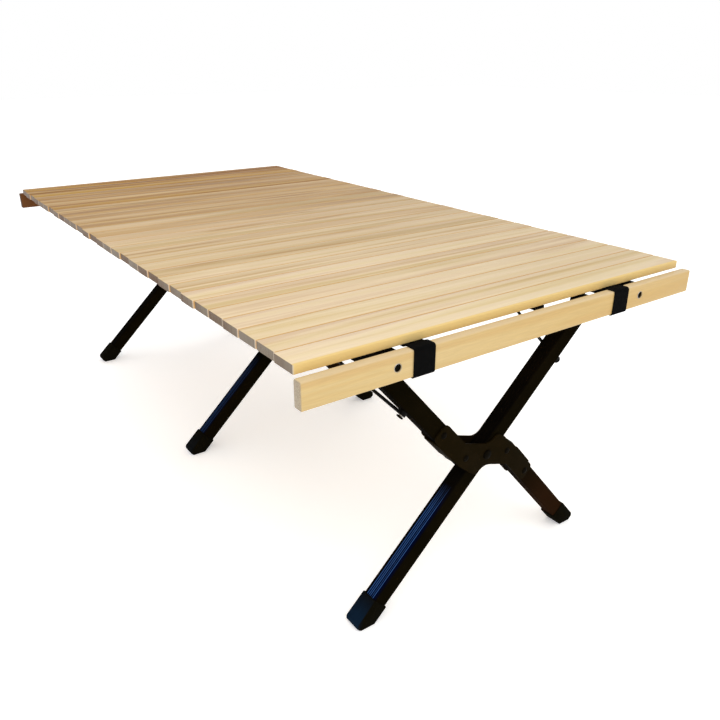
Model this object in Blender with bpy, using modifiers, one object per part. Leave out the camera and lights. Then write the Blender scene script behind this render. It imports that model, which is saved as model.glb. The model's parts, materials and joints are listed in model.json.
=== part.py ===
"""Low roll-top camping table on three scissor leg frames.

A slatted wooden top, held together by two webbing straps, lies on two side rails.
Each of the three leg frames under it is a scissor: a straight cross arm turns between
the two hub plates of a front link, whose upper and lower arm stand off to either side
of the hub, so that the cross arm folds in between them.

Metres, +Z up, the floor at Z = 0. X runs along the table and Y across it.
"""
import math

import bmesh
import bpy
from mathutils import Matrix, Vector

# Gap between two pieces that touch
CLEAR = 0.0003

# Slatted top
TOP_HEIGHT = 0.400
TOP_LENGTH = 1.1002
SLAT_COUNT = 30
SLAT_GAP = 0.0008
SLAT_LENGTH = 0.600
SLAT_THICKNESS = 0.010
SLAT_TOP_RADIUS = 0.0012
SLAT_UNDER_CHAMFER = 0.0006

# Webbing straps under the slats and round the end rails
STRAP_WIDTH = 0.028
STRAP_THICKNESS = 0.0012
STRAP_Y = 0.1572
STRAP_SHIFT = -0.0037

# Wooden rails across the ends of the top
END_RAIL_LENGTH = 0.607
END_RAIL_THICKNESS = 0.0125
END_RAIL_HEIGHT = 0.0295
END_RAIL_RISE = 0.0006
END_RAIL_GAP = 0.0058
END_RAIL_EDGE_RADIUS = 0.002
BUSH_HOLE_RADIUS = 0.0043

# Grooved aluminium tube of the arms and the side rails
TUBE_WIDTH = 0.023
TUBE_DEPTH = 0.022
TUBE_WALL = 0.0016
TUBE_CORNER = 0.0013
GROOVE_COUNT = 4
GROOVE_PITCH = 0.0051
GROOVE_WIDTH = 0.0016
GROOVE_DEPTH = 0.0006

# Side rails
SIDE_RAIL_Y = 0.194

# Scissor frames: the outer two are this far in from the side rails' ends and the third is
# midway between them. Each hub is at a share of the height of its top pivots.
NEAR_FRAME_INSET = 0.0561
FAR_FRAME_INSET = 0.0331
HUB_SHARE = 0.5244
TOP_PIVOT_Y = 0.1765
FOLD_GAP = 0.0006
ARM_END_ROUND = 0.0003
ARM_END_ROOM = 0.0006

# Hub yokes: two plates over the arms, two bridges between them and the pivot pin
PLATE_THICKNESS = 0.0025
PLATE_MARGIN = 0.0015
LOBE_REACH = 0.090
WAIST_RADIUS = 0.036
SHOULDER_RADIUS = 0.009
WAIST_START = 0.0435
BRIDGE_START = 0.045
BRIDGE_END = 0.085
BRIDGE_THICKNESS = 0.0025
HUB_PIN_RADIUS = 0.004
HUB_PIN_HEAD_RADIUS = 0.0066
HUB_PIN_HEAD_HEIGHT = 0.0030

# Ears welded under the side rails, and the pins in them
EAR_THICKNESS = 0.0022
EAR_RADIUS = 0.0115
EAR_BITE = 0.0008
TOP_PIN_RADIUS = 0.003
TOP_PIN_HEAD_RADIUS = 0.0052
TOP_PIN_HEAD_HEIGHT = 0.0025
LUG_RADIUS = 0.0065
LUG_THICKNESS = 0.003

# Brace rods of the outer frames
ROD_RADIUS = 0.0021
ROD_REACH = 0.200
ROD_EYE_FROM_HUB = 0.160
ROD_EYE_X = 0.004
ROD_STANDOFF = 0.0016
ROD_TAIL = 0.007
ROD_ELBOW = 0.014
EYE_RADIUS = 0.0052
EYE_THICKNESS = 0.0054
EYE_HOLE_RADIUS = 0.0024

# Rubber feet: the toe is this far past the tube's own line
TOE_REACH = 0.002
BOOT_LENGTH = 0.041
BOOT_WALL = 0.0016
BOOT_EDGE = 0.0010
TOE_BEVEL = 0.004
SOLE_THICKNESS = 0.007

# Levels that follow from the sizes above
SLAT_PITCH = (TOP_LENGTH + SLAT_GAP) / SLAT_COUNT
SLAT_WIDTH = SLAT_PITCH - SLAT_GAP
TOP_END = TOP_LENGTH / 2
SLAT_BOTTOM = TOP_HEIGHT - SLAT_THICKNESS
STRAP_TOP = SLAT_BOTTOM - CLEAR
STRAP_BOTTOM = STRAP_TOP - STRAP_THICKNESS
END_RAIL_INNER = TOP_END + END_RAIL_GAP
END_RAIL_TOP = SLAT_BOTTOM + END_RAIL_RISE
SIDE_RAIL_TOP = STRAP_BOTTOM - CLEAR
SIDE_RAIL_Z = SIDE_RAIL_TOP - TUBE_WIDTH / 2
SIDE_RAIL_END = END_RAIL_INNER - CLEAR
ARM_END_RADIUS = TUBE_WIDTH / 2 + ARM_END_ROUND
TOP_PIVOT_Z = SIDE_RAIL_TOP - TUBE_WIDTH - ARM_END_ROOM - ARM_END_RADIUS
HUB_HEIGHT = HUB_SHARE * TOP_PIVOT_Z

# Scissor geometry
LINK_OFFSET = TUBE_WIDTH + FOLD_GAP
CROSS_REACH = math.hypot(TOP_PIVOT_Y, TOP_PIVOT_Z - HUB_HEIGHT)
CROSS_ANGLE = math.atan2(TOP_PIVOT_Z - HUB_HEIGHT, TOP_PIVOT_Y)
FRONT_REACH = math.sqrt(CROSS_REACH ** 2 - LINK_OFFSET ** 2)
FRONT_ANGLE = math.pi - CROSS_ANGLE - math.asin(LINK_OFFSET / CROSS_REACH)
ARM_BUTT = TUBE_WIDTH / 2 + CLEAR
PLATE_X = TUBE_DEPTH / 2 + CLEAR + PLATE_THICKNESS / 2

# Frame name to its place along X and the way its brace rods lean
NEAR_X = SIDE_RAIL_END - NEAR_FRAME_INSET
FAR_X = FAR_FRAME_INSET - SIDE_RAIL_END
FRAMES = {"near": (NEAR_X, -1), "mid": ((NEAR_X + FAR_X) / 2, 0), "far": (FAR_X, 1)}

# Turns that lay a flat outline's own X, Y and thickness along other axes
LENGTH_ALONG_Y = Matrix.Rotation(math.pi / 2, 4, "X")
LENGTH_ALONG_X = Matrix.Rotation(math.pi / 2, 4, "Y")
OUTLINE_IN_YZ = Matrix(((0, 0, 1, 0), (1, 0, 0, 0), (0, 1, 0, 0), (0, 0, 0, 1)))


def clear_scene():
    for obj in list(bpy.data.objects):
        bpy.data.objects.remove(obj, do_unlink=True)


def make_collection(name):
    collection = bpy.data.collections.new(name)
    bpy.context.scene.collection.children.link(collection)
    return collection


def make_material(name, colour, roughness, metallic=0.0):
    material = bpy.data.materials.new(name)
    material.use_nodes = True
    shader = material.node_tree.nodes["Principled BSDF"]
    shader.inputs["Base Color"].default_value = (*colour, 1.0)
    shader.inputs["Roughness"].default_value = roughness
    shader.inputs["Metallic"].default_value = metallic
    return material


clear_scene()
PARTS = make_collection("camping_table")
CUTTERS = make_collection("cutters")

PAINTS = {
    "wood": ((0.74, 0.56, 0.33), 0.5, 0.0),
    "end_wood": ((0.78, 0.58, 0.30), 0.5, 0.0),
    "webbing": ((0.012, 0.012, 0.012), 0.85, 0.0),
    "tube": ((0.012, 0.012, 0.014), 0.35, 0.6),
    "plate": ((0.016, 0.014, 0.011), 0.45, 0.5),
    "rubber": ((0.010, 0.010, 0.011), 0.8, 0.0),
    "black_steel": ((0.014, 0.013, 0.012), 0.35, 0.8),
}


def add_empty(name, parent=None, location=(0, 0, 0), turn=0.0):
    """A joint axis: its children are placed from it, and turn about its X."""
    empty = bpy.data.objects.new(name, None)
    PARTS.objects.link(empty)
    empty.parent = parent
    empty.location = location
    empty.rotation_euler = (turn, 0, 0)
    return empty


def add_part(name, mesh, paint, parent=None, location=(0, 0, 0)):
    """A piece in its paint. Pieces that share a mesh share its material as well."""
    if not mesh.materials:
        mesh.name = name
        mesh.materials.append(make_material(name + "_" + paint, *PAINTS[paint]))
        mesh.shade_smooth()
        mesh.set_sharp_from_angle(angle=math.radians(35))
    obj = bpy.data.objects.new(name, mesh)
    PARTS.objects.link(obj)
    obj.parent = parent
    obj.location = location
    return obj


def add_cutter(name, mesh, target):
    """A cutter shares its target's parent and place, so both are drawn in one frame."""
    cutter = bpy.data.objects.new(name, mesh)
    CUTTERS.objects.link(cutter)
    cutter.parent = target.parent
    cutter.location = target.location
    cutter.hide_render = True
    cutter.display_type = "WIRE"
    return cutter


def combine(target, mesh, operation="DIFFERENCE"):
    cutter = add_cutter(target.name + "_" + operation.lower(), mesh, target)
    modifier = target.modifiers.new(operation.title(), "BOOLEAN")
    modifier.operation = operation
    modifier.solver = "EXACT"
    modifier.object = cutter


def bevel_edges(obj, width, segments):
    modifier = obj.modifiers.new("Edges", "BEVEL")
    modifier.width = width
    modifier.segments = segments
    modifier.limit_method = "ANGLE"
    modifier.angle_limit = math.radians(30)
    return modifier


def evaluated_mesh(obj):
    """The object's mesh with its modifiers applied, welded, with its faces turned out."""
    depsgraph = bpy.context.evaluated_depsgraph_get()
    depsgraph.update()
    mesh = bpy.data.meshes.new_from_object(obj.evaluated_get(depsgraph))
    bpy.data.objects.remove(obj, do_unlink=True)
    solid = bmesh.new()
    solid.from_mesh(mesh)
    bmesh.ops.remove_doubles(solid, verts=solid.verts, dist=0.00001)
    bmesh.ops.recalc_face_normals(solid, faces=solid.faces)
    solid.to_mesh(mesh)
    solid.free()
    return mesh


def outline_solid(outlines, thickness, turn):
    """A flat outline with any inner outlines as holes, given its thickness and turned."""
    curve = bpy.data.curves.new("outline", "CURVE")
    curve.dimensions = "2D"
    curve.fill_mode = "BOTH"
    curve.extrude = thickness / 2
    for points in outlines:
        spline = curve.splines.new("POLY")
        spline.points.add(len(points) - 1)
        for slot, (x, y) in zip(spline.points, points):
            slot.co = (x, y, 0, 1)
        spline.use_cyclic_u = True
    obj = bpy.data.objects.new("outline", curve)
    PARTS.objects.link(obj)
    mesh = evaluated_mesh(obj)
    mesh.transform(turn)
    return mesh


def turned_solid(profile, steps, turn):
    """A profile of (radius, height) points, top to bottom, turned about Z and then laid over."""
    mesh = bpy.data.meshes.new("profile")
    points = [(radius, 0, height) for radius, height in profile]
    mesh.from_pydata(points, [(i, i + 1) for i in range(len(points) - 1)], [])
    obj = bpy.data.objects.new("profile", mesh)
    PARTS.objects.link(obj)
    screw = obj.modifiers.new("Turn", "SCREW")
    screw.steps = steps
    screw.render_steps = steps
    screw.use_merge_vertices = True
    screw.merge_threshold = 0.00001
    solid = evaluated_mesh(obj)
    solid.transform(turn)
    return solid


def box_mesh(low, high):
    solid = bmesh.new()
    bmesh.ops.create_cube(solid, size=1.0)
    size = Vector(high) - Vector(low)
    middle = (Vector(high) + Vector(low)) / 2
    bmesh.ops.scale(solid, vec=size, verts=solid.verts)
    bmesh.ops.translate(solid, vec=middle, verts=solid.verts)
    mesh = bpy.data.meshes.new("box")
    solid.to_mesh(mesh)
    solid.free()
    return mesh


def rod_mesh(radius, start, end, sides):
    """A straight round bar between two points, for shanks and for drilling."""
    start, end = Vector(start), Vector(end)
    way = end - start
    turn = Vector((0, 0, 1)).rotation_difference(way).to_matrix().to_4x4()
    place = Matrix.Translation((start + end) / 2) @ turn
    solid = bmesh.new()
    bmesh.ops.create_cone(solid, cap_ends=True, segments=sides, radius1=radius,
                          radius2=radius, depth=way.length, matrix=place)
    mesh = bpy.data.meshes.new("rod")
    solid.to_mesh(mesh)
    solid.free()
    return mesh


def gather(meshes):
    """Several separate solids in one mesh."""
    solid = bmesh.new()
    for mesh in meshes:
        solid.from_mesh(mesh)
    gathered = bpy.data.meshes.new("group")
    solid.to_mesh(gathered)
    solid.free()
    return gathered


def moved(mesh, offset):
    copy = mesh.copy()
    copy.transform(Matrix.Translation(offset))
    return copy


def arc(centre, radius, start, end, steps):
    """Points on an arc between two angles in degrees, both ends included."""
    angles = [math.radians(start + (end - start) * i / steps) for i in range(steps + 1)]
    return [(centre[0] + radius * math.cos(a), centre[1] + radius * math.sin(a))
            for a in angles]


def tube_section():
    """Outer and inner outline: grooves lie in the two faces across the tube's width."""
    half_x = TUBE_DEPTH / 2
    half_y = TUBE_WIDTH / 2
    grooves = []
    for i in range(GROOVE_COUNT):
        middle = (i - (GROOVE_COUNT - 1) / 2) * GROOVE_PITCH
        grooves.append((middle - GROOVE_WIDTH / 2, 0))
        grooves.append((middle, GROOVE_DEPTH))
        grooves.append((middle + GROOVE_WIDTH / 2, 0))
    under = [(x, -half_y + depth) for x, depth in grooves]
    over = [(-x, half_y - depth) for x, depth in grooves]
    outer = [(-half_x + TUBE_CORNER, -half_y)] + under
    outer += [(half_x - TUBE_CORNER, -half_y), (half_x, -half_y + TUBE_CORNER)]
    outer += [(half_x, half_y - TUBE_CORNER), (half_x - TUBE_CORNER, half_y)] + over
    outer += [(-half_x + TUBE_CORNER, half_y), (-half_x, half_y - TUBE_CORNER)]
    outer += [(-half_x, -half_y + TUBE_CORNER)]
    bore_x = half_x - TUBE_WALL
    bore_y = half_y - TUBE_WALL
    inner = [(-bore_x, -bore_y), (bore_x, -bore_y), (bore_x, bore_y), (-bore_x, bore_y)]
    return [outer, inner]


def arm_mesh(low, high, offset):
    """A length of tube along Y, from low to high, its middle at offset in Z."""
    mesh = outline_solid(tube_section(), high - low, LENGTH_ALONG_Y)
    mesh.transform(Matrix.Translation((0, (low + high) / 2, offset)))
    return mesh


def end_rounder(pivot_y, pivot_z):
    """What is cut from an arm's top end to leave it round about its pivot."""
    reach = ARM_END_RADIUS
    spare = 2 * reach
    edge = pivot_y + reach * math.cos(math.radians(80))
    points = arc((pivot_y, pivot_z), reach, -80, 80, 10)
    points += [(edge, pivot_z + spare), (pivot_y + spare, pivot_z + spare)]
    points += [(pivot_y + spare, pivot_z - spare), (edge, pivot_z - spare)]
    return outline_solid([points], 2 * TUBE_DEPTH, OUTLINE_IN_YZ)


def pin_mesh(head_radius, head_height, shank_radius, seat, steps):
    """A pin along X with a domed head beyond each seat."""
    dome = [(0, head_height), (head_radius * 0.8, head_height), (head_radius, head_height * 0.5),
            (head_radius, 0), (shank_radius, 0)]
    profile = [(radius, seat + height) for radius, height in dome]
    profile += [(radius, -seat - height) for radius, height in reversed(dome)]
    return turned_solid(profile, steps, LENGTH_ALONG_X)


def pin_hole(radius, y, z):
    return rod_mesh(radius + CLEAR, (-TUBE_DEPTH, y, z), (TUBE_DEPTH, y, z), 12)


def floor_along(turn, z, height):
    """How far along a link, from the hub, its line at offset z comes down to a height."""
    return (height - HUB_HEIGHT - z * math.cos(turn)) / math.sin(turn)


def tube_low_end(turn, centre, outer):
    """Where a tube stops in its boot, with the sole's thickness left under its low corner."""
    return floor_along(turn, centre - outer * TUBE_WIDTH / 2, SOLE_THICKNESS)


def add_foot(name, parent, location, turn, centre, outer):
    """A boot over a tube's low end: centre is the tube's line, outer its upward side."""
    half = TUBE_WIDTH / 2 + BOOT_WALL
    upper = centre + outer * half
    lower = centre - outer * half
    toe_z = centre + outer * TOE_REACH
    end = floor_along(turn, toe_z, 0)
    outline = [(end + BOOT_LENGTH, upper), (end + TOE_BEVEL, upper),
               (end, upper - outer * TOE_BEVEL), (end, toe_z),
               (floor_along(turn, lower, 0), lower), (end + BOOT_LENGTH, lower)]
    thickness = TUBE_DEPTH + 2 * BOOT_WALL
    foot = add_part(name, outline_solid([outline], thickness, OUTLINE_IN_YZ), "rubber", parent,
                    location)
    bevel_edges(foot, BOOT_EDGE, 1)
    low = tube_low_end(turn, centre, outer) - CLEAR
    half_x = TUBE_DEPTH / 2 + CLEAR
    half_z = TUBE_WIDTH / 2 + CLEAR
    combine(foot, box_mesh((-half_x, low, centre - half_z),
                           (half_x, end + 2 * BOOT_LENGTH, centre + half_z)))


def yoke_outline():
    """The hub plate's Z outline about the hub: the same turned half way round.

    Each half is the lobe over one arm. Past the arm's end it comes round a shoulder and
    falls in a hollow arc to the inner side of the other lobe.
    """
    lobe = TUBE_WIDTH / 2 + PLATE_MARGIN
    outer = LINK_OFFSET + lobe
    inner = LINK_OFFSET - lobe
    waist = (-WAIST_START, WAIST_RADIUS - inner)
    shoulder = (waist[0] + WAIST_RADIUS + SHOULDER_RADIUS, outer - SHOULDER_RADIUS)
    half = arc(waist, WAIST_RADIUS, -90, 0, 7)
    half += arc(shoulder, SHOULDER_RADIUS, 180, 90, 3)
    half += arc((LOBE_REACH, LINK_OFFSET), lobe, 90, -90, 8)
    return half + [(-y, -z) for y, z in half]


def add_yoke(frame, parent, hub):
    """Two plates with the arms' ends between them, their bridges and the pivot pin."""
    plate = outline_solid([yoke_outline()], PLATE_THICKNESS, OUTLINE_IN_YZ)
    plates = [moved(plate, (side * PLATE_X, 0, 0)) for side in (-1, 1)]
    yoke = add_part("hub_yoke_" + frame, gather(plates), "plate", parent, hub)
    half_x = PLATE_X + PLATE_THICKNESS / 2
    low = LINK_OFFSET + TUBE_WIDTH / 2 + CLEAR
    high = low + BRIDGE_THICKNESS
    bridges = [box_mesh((-half_x, BRIDGE_START, low), (half_x, BRIDGE_END, high)),
               box_mesh((-half_x, -BRIDGE_END, -high), (half_x, -BRIDGE_START, -low))]
    combine(yoke, gather(bridges), "UNION")
    combine(yoke, pin_mesh(HUB_PIN_HEAD_RADIUS, HUB_PIN_HEAD_HEIGHT, HUB_PIN_RADIUS, half_x, 12),
            "UNION")


def add_front_link(frame, pivot):
    """The Z-shaped link under the left side rail, drawn from its hub."""
    hub = (0, -FRONT_REACH, -LINK_OFFSET)
    upper = add_part("front_arm_upper_" + frame,
                     arm_mesh(ARM_BUTT, FRONT_REACH + ARM_END_RADIUS, LINK_OFFSET),
                     "tube", pivot, hub)
    combine(upper, end_rounder(FRONT_REACH, LINK_OFFSET))
    combine(upper, pin_hole(TOP_PIN_RADIUS, FRONT_REACH, LINK_OFFSET))
    low = tube_low_end(FRONT_ANGLE, -LINK_OFFSET, -1)
    add_part("front_arm_lower_" + frame, arm_mesh(low, -ARM_BUTT, -LINK_OFFSET), "tube", pivot, hub)
    add_foot("foot_front_" + frame, pivot, hub, FRONT_ANGLE, -LINK_OFFSET, -1)
    add_yoke(frame, pivot, hub)


def add_cross_arm(frame, hub):
    """The straight arm up to the right side rail, drawn from the hub it turns about."""
    low = tube_low_end(CROSS_ANGLE, 0, 1)
    arm = add_part("cross_arm_" + frame, arm_mesh(low, CROSS_REACH + ARM_END_RADIUS, 0),
                   "tube", hub)
    combine(arm, end_rounder(CROSS_REACH, 0))
    combine(arm, gather([pin_hole(TOP_PIN_RADIUS, CROSS_REACH, 0), pin_hole(HUB_PIN_RADIUS, 0, 0)]))
    add_foot("foot_cross_" + frame, hub, (0, 0, 0), CROSS_ANGLE, 0, 1)


def rod_curve_mesh(points):
    curve = bpy.data.curves.new("rod", "CURVE")
    curve.dimensions = "3D"
    curve.bevel_depth = ROD_RADIUS
    curve.bevel_resolution = 2
    curve.use_fill_caps = True
    spline = curve.splines.new("POLY")
    spline.points.add(len(points) - 1)
    for slot, point in zip(spline.points, points):
        slot.co = (*point, 1)
    obj = bpy.data.objects.new("rod", curve)
    PARTS.objects.link(obj)
    return evaluated_mesh(obj)


def bend(start, corner, end, size, steps):
    """Points that go from start to end, rounding the corner between them."""
    start, corner, end = Vector(start), Vector(corner), Vector(end)
    first = corner + (start - corner).normalized() * size
    last = corner + (end - corner).normalized() * size
    points = [start]
    for i in range(steps + 1):
        t = i / steps
        points.append(first.lerp(corner, t).lerp(corner.lerp(last, t), t))
    return points + [end]


def add_brace(side, frame, parent, hub, pivot, outer):
    """A rod from an eye on an upper arm to a lug under the side rail, on the pivots' line."""
    lean = FRAMES[frame][1]
    eye_x = -lean * ROD_EYE_X
    pivot_y, pivot_z = pivot
    face = TUBE_WIDTH / 2 + CLEAR
    eye_low = pivot_z + outer * face
    eye_high = pivot_z + outer * (face + EYE_THICKNESS)
    line_z = pivot_z + outer * (face + ROD_RADIUS + ROD_STANDOFF)
    eye = Vector((eye_x, ROD_EYE_FROM_HUB, line_z))
    corner = (lean * (ROD_REACH - ROD_ELBOW), pivot_y, pivot_z)
    tail = (lean * (ROD_REACH + ROD_TAIL), pivot_y, pivot_z)
    start = eye + (Vector(corner) - eye).normalized() * (EYE_RADIUS + EYE_HOLE_RADIUS) / 2
    rod = add_part("brace_rod_" + side + "_" + frame,
                   rod_curve_mesh(bend(start, corner, tail, ROD_ELBOW / 2, 3)),
                   "black_steel", parent, hub)
    combine(rod, rod_mesh(EYE_RADIUS, (eye_x, ROD_EYE_FROM_HUB, eye_low),
                          (eye_x, ROD_EYE_FROM_HUB, eye_high), 12), "UNION")
    combine(rod, rod_mesh(EYE_HOLE_RADIUS, (eye_x, ROD_EYE_FROM_HUB, eye_low - outer * TUBE_WALL),
                          (eye_x, ROD_EYE_FROM_HUB, eye_high + outer * TUBE_WALL), 8))


def ear_mesh(side, radius, thickness, x):
    """A plate that hangs from the rail and comes round its pivot: side is the rail's."""
    under = TUBE_DEPTH / 2 - TUBE_CORNER
    rail = SIDE_RAIL_Y - TOP_PIVOT_Y
    weld = SIDE_RAIL_TOP - TUBE_WIDTH + EAR_BITE - TOP_PIVOT_Z
    outline = arc((0, 0), radius, 150, 360, 9)
    outline += [(rail + under, weld), (rail - under, weld)]
    outline = [(side * y, z) for y, z in outline]
    return moved(outline_solid([outline], thickness, OUTLINE_IN_YZ), (x, 0, 0))


def add_side_rail(name, side, pivot):
    """A side rail with its ears, lugs and pins, placed from its pivots' line."""
    tube = outline_solid(tube_section(), 2 * SIDE_RAIL_END, OUTLINE_IN_YZ)
    tube.transform(Matrix.Translation((0, side * (SIDE_RAIL_Y - TOP_PIVOT_Y),
                                       SIDE_RAIL_Z - TOP_PIVOT_Z)))
    rail = add_part("side_rail_" + name, tube, "tube", pivot)
    ear_x = TUBE_DEPTH / 2 + CLEAR + EAR_THICKNESS / 2
    ears = [ear_mesh(side, EAR_RADIUS, EAR_THICKNESS, x + step)
            for x, lean in FRAMES.values() for step in (-ear_x, ear_x)]
    lug_x = [x + lean * ROD_REACH for x, lean in FRAMES.values() if lean]
    lugs = [ear_mesh(side, LUG_RADIUS, LUG_THICKNESS, x) for x in lug_x]
    combine(rail, gather(ears + lugs), "UNION")
    seat = ear_x + EAR_THICKNESS / 2
    pin = pin_mesh(TOP_PIN_HEAD_RADIUS, TOP_PIN_HEAD_HEIGHT, TOP_PIN_RADIUS, seat, 10)
    combine(rail, gather([moved(pin, (x, 0, 0)) for x, lean in FRAMES.values()]), "UNION")
    holes = [rod_mesh(ROD_RADIUS + CLEAR, (x - ROD_TAIL, 0, 0), (x + ROD_TAIL, 0, 0), 10)
             for x in lug_x]
    combine(rail, gather(holes))


def slat_mesh():
    half = SLAT_WIDTH / 2
    high = SLAT_THICKNESS / 2
    radius = SLAT_TOP_RADIUS
    nip = SLAT_UNDER_CHAMFER
    section = [(-half + nip, -high), (half - nip, -high), (half, -high + nip)]
    section += arc((half - radius, high - radius), radius, 0, 90, 2)
    section += arc((-half + radius, high - radius), radius, 90, 180, 2)
    section += [(-half, -high + nip)]
    return outline_solid([section], SLAT_LENGTH, LENGTH_ALONG_Y)


def add_slats(top):
    """Thirty slats, all one mesh, from the far end to the near one."""
    slat = slat_mesh()
    for i in range(SLAT_COUNT):
        x = (i - (SLAT_COUNT - 1) / 2) * SLAT_PITCH
        add_part(f"slat_{i + 1:02d}", slat, "wood", top, (x, 0, TOP_HEIGHT - SLAT_THICKNESS / 2))


def strap_path():
    """The webbing's middle line, seen from the side.

    It runs level under the slats, rises over each end rail and turns round it, and stops
    short of the rail's inner face.
    """
    lift = CLEAR + STRAP_THICKNESS / 2
    level = STRAP_TOP - STRAP_THICKNESS / 2
    radius = END_RAIL_EDGE_RADIUS + lift
    leave = TOP_END - END_RAIL_GAP / 2
    inner = END_RAIL_INNER + END_RAIL_EDGE_RADIUS
    outer = END_RAIL_INNER + END_RAIL_THICKNESS - END_RAIL_EDGE_RADIUS
    top = END_RAIL_TOP - END_RAIL_EDGE_RADIUS
    bottom = END_RAIL_TOP - END_RAIL_HEIGHT + END_RAIL_EDGE_RADIUS
    first = TOP_END + CLEAR
    rise = top + radius - level
    near = [(leave, level)]
    for i in range(5):
        t = i / 4
        near.append((first + (inner - first) * t, level + rise * t * t * (3 - 2 * t)))
    near += arc((outer, top), radius, 90, 0, 4)
    near += arc((outer, bottom), radius, 0, -90, 4)
    near += [(inner, bottom - radius)]
    return [(-x, z) for x, z in reversed(near)] + near


def strip_mesh(path, width):
    """An open strip along a path in XZ, ready to be given its thickness."""
    solid = bmesh.new()
    rows = [[solid.verts.new((x, side * width / 2, z)) for side in (-1, 1)] for x, z in path]
    for (a, b), (c, d) in zip(rows, rows[1:]):
        solid.faces.new((a, b, d, c))
    mesh = bpy.data.meshes.new("strip")
    solid.to_mesh(mesh)
    solid.free()
    return mesh


def add_straps(top):
    for name, side in (("left", -1), ("right", 1)):
        strap = add_part("strap_" + name, strip_mesh(strap_path(), STRAP_WIDTH), "webbing", top,
                         (0, side * STRAP_Y + STRAP_SHIFT, 0))
        modifier = strap.modifiers.new("Thickness", "SOLIDIFY")
        modifier.thickness = STRAP_THICKNESS
        modifier.offset = 0
        modifier.use_even_offset = True


def add_end_rail(name, end, top):
    """An end rail beside the last slat, with a bush's hole over each side rail."""
    middle = (end * (END_RAIL_INNER + END_RAIL_THICKNESS / 2), 0, END_RAIL_TOP - END_RAIL_HEIGHT / 2)
    size = Vector((END_RAIL_THICKNESS, END_RAIL_LENGTH, END_RAIL_HEIGHT))
    rail = add_part("end_rail_" + name, box_mesh(-size / 2, size / 2), "end_wood", top, middle)
    bevel_edges(rail, END_RAIL_EDGE_RADIUS, 3)
    hole_z = SIDE_RAIL_Z - middle[2]
    holes = [rod_mesh(BUSH_HOLE_RADIUS, (-END_RAIL_THICKNESS, side * SIDE_RAIL_Y, hole_z),
                      (END_RAIL_THICKNESS, side * SIDE_RAIL_Y, hole_z), 16) for side in (-1, 1)]
    combine(rail, gather(holes))


def build_frame():
    """Side rails and scissors: each joint's empty hangs from the link that carries it."""
    left = add_empty("left_pivot_line", None, (0, -TOP_PIVOT_Y, TOP_PIVOT_Z))
    add_side_rail("left", -1, left)
    hub = (0, -FRONT_REACH, -LINK_OFFSET)
    for frame, (x, lean) in FRAMES.items():
        front = add_empty("front_pivot_" + frame, left, (x, 0, 0), FRONT_ANGLE)
        add_front_link(frame, front)
        cross = add_empty("hub_pivot_" + frame, front, hub, CROSS_ANGLE - FRONT_ANGLE)
        add_cross_arm(frame, cross)
        if lean:
            add_brace("left", frame, front, hub, (FRONT_REACH, LINK_OFFSET), 1)
            add_brace("right", frame, cross, (0, 0, 0), (CROSS_REACH, 0), -1)
        else:
            right = add_empty("right_pivot_line", cross, (-x, CROSS_REACH, 0), -CROSS_ANGLE)
            add_side_rail("right", 1, right)


def build_top():
    top = add_empty("top_place")
    add_slats(top)
    add_straps(top)
    add_end_rail("near", 1, top)
    add_end_rail("far", -1, top)


build_frame()
build_top()
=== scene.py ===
"""Low roll-top camping table: pine slats on webbing over black scissor legs.

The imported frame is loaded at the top. Each operator then dresses one group of its pieces,
and the last one sets the floor, the lights and the camera.
"""

import json
import math

import bmesh
import bpy
from bpy.props import FloatProperty, FloatVectorProperty, IntProperty, PointerProperty
from mathutils import Matrix, Vector


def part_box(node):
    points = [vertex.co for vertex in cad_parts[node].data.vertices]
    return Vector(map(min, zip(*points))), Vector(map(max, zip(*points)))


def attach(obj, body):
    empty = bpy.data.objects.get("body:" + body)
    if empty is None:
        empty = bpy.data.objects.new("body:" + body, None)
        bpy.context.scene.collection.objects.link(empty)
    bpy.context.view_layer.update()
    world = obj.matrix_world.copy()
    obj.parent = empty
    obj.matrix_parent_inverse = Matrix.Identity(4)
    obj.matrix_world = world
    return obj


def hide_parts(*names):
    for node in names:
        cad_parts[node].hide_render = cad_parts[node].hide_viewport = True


bl_info = {
    "name": "Roll-Top Camping Table",
    "version": (1, 0, 0),
    "blender": (4, 5, 0),
    "location": "View3D > Sidebar > Camping Table",
    "description": "Dresses the packed frame of a roll-top camping table",
    "category": "Add Mesh",
}

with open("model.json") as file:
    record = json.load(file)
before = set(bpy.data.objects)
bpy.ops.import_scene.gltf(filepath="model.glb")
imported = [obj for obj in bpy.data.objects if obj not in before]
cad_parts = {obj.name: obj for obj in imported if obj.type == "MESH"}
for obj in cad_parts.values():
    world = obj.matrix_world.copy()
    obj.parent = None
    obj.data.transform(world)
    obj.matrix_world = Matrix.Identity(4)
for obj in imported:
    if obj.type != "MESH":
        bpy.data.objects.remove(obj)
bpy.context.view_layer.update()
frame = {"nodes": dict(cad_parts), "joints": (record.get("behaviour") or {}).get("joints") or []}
FRAMES = ("near", "mid", "far")
SLATS = sorted(name for name in frame["nodes"] if name.startswith("slat_"))
SOCKET_KINDS = {int: "NodeSocketInt", float: "NodeSocketFloat", tuple: "NodeSocketVector"}
MERGE_DISTANCE = 0.000005


def rgb(code):
    """An sRGB hex code as linear red, green and blue."""
    values = [int(code[i:i + 2], 16) / 255 for i in (0, 2, 4)]
    return tuple(v / 12.92 if v <= 0.04045 else ((v + 0.055) / 1.055) ** 2.4 for v in values)


def rgba(value):
    """An opaque colour, from a hex code or from a colour property."""
    return (*(rgb(value) if isinstance(value, str) else value), 1.0)


def joint_place(name):
    return Vector(next(joint for joint in frame["joints"] if joint["name"] == name)["pos_m"])


def node_span(name, axis):
    """Where a CAD node begins and ends along an axis."""
    low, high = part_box(name)
    return float(low[axis]), float(high[axis])


def node_size(name, axis):
    low, high = node_span(name, axis)
    return high - low


def node_middle(name, axis):
    return sum(node_span(name, axis)) / 2


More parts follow.
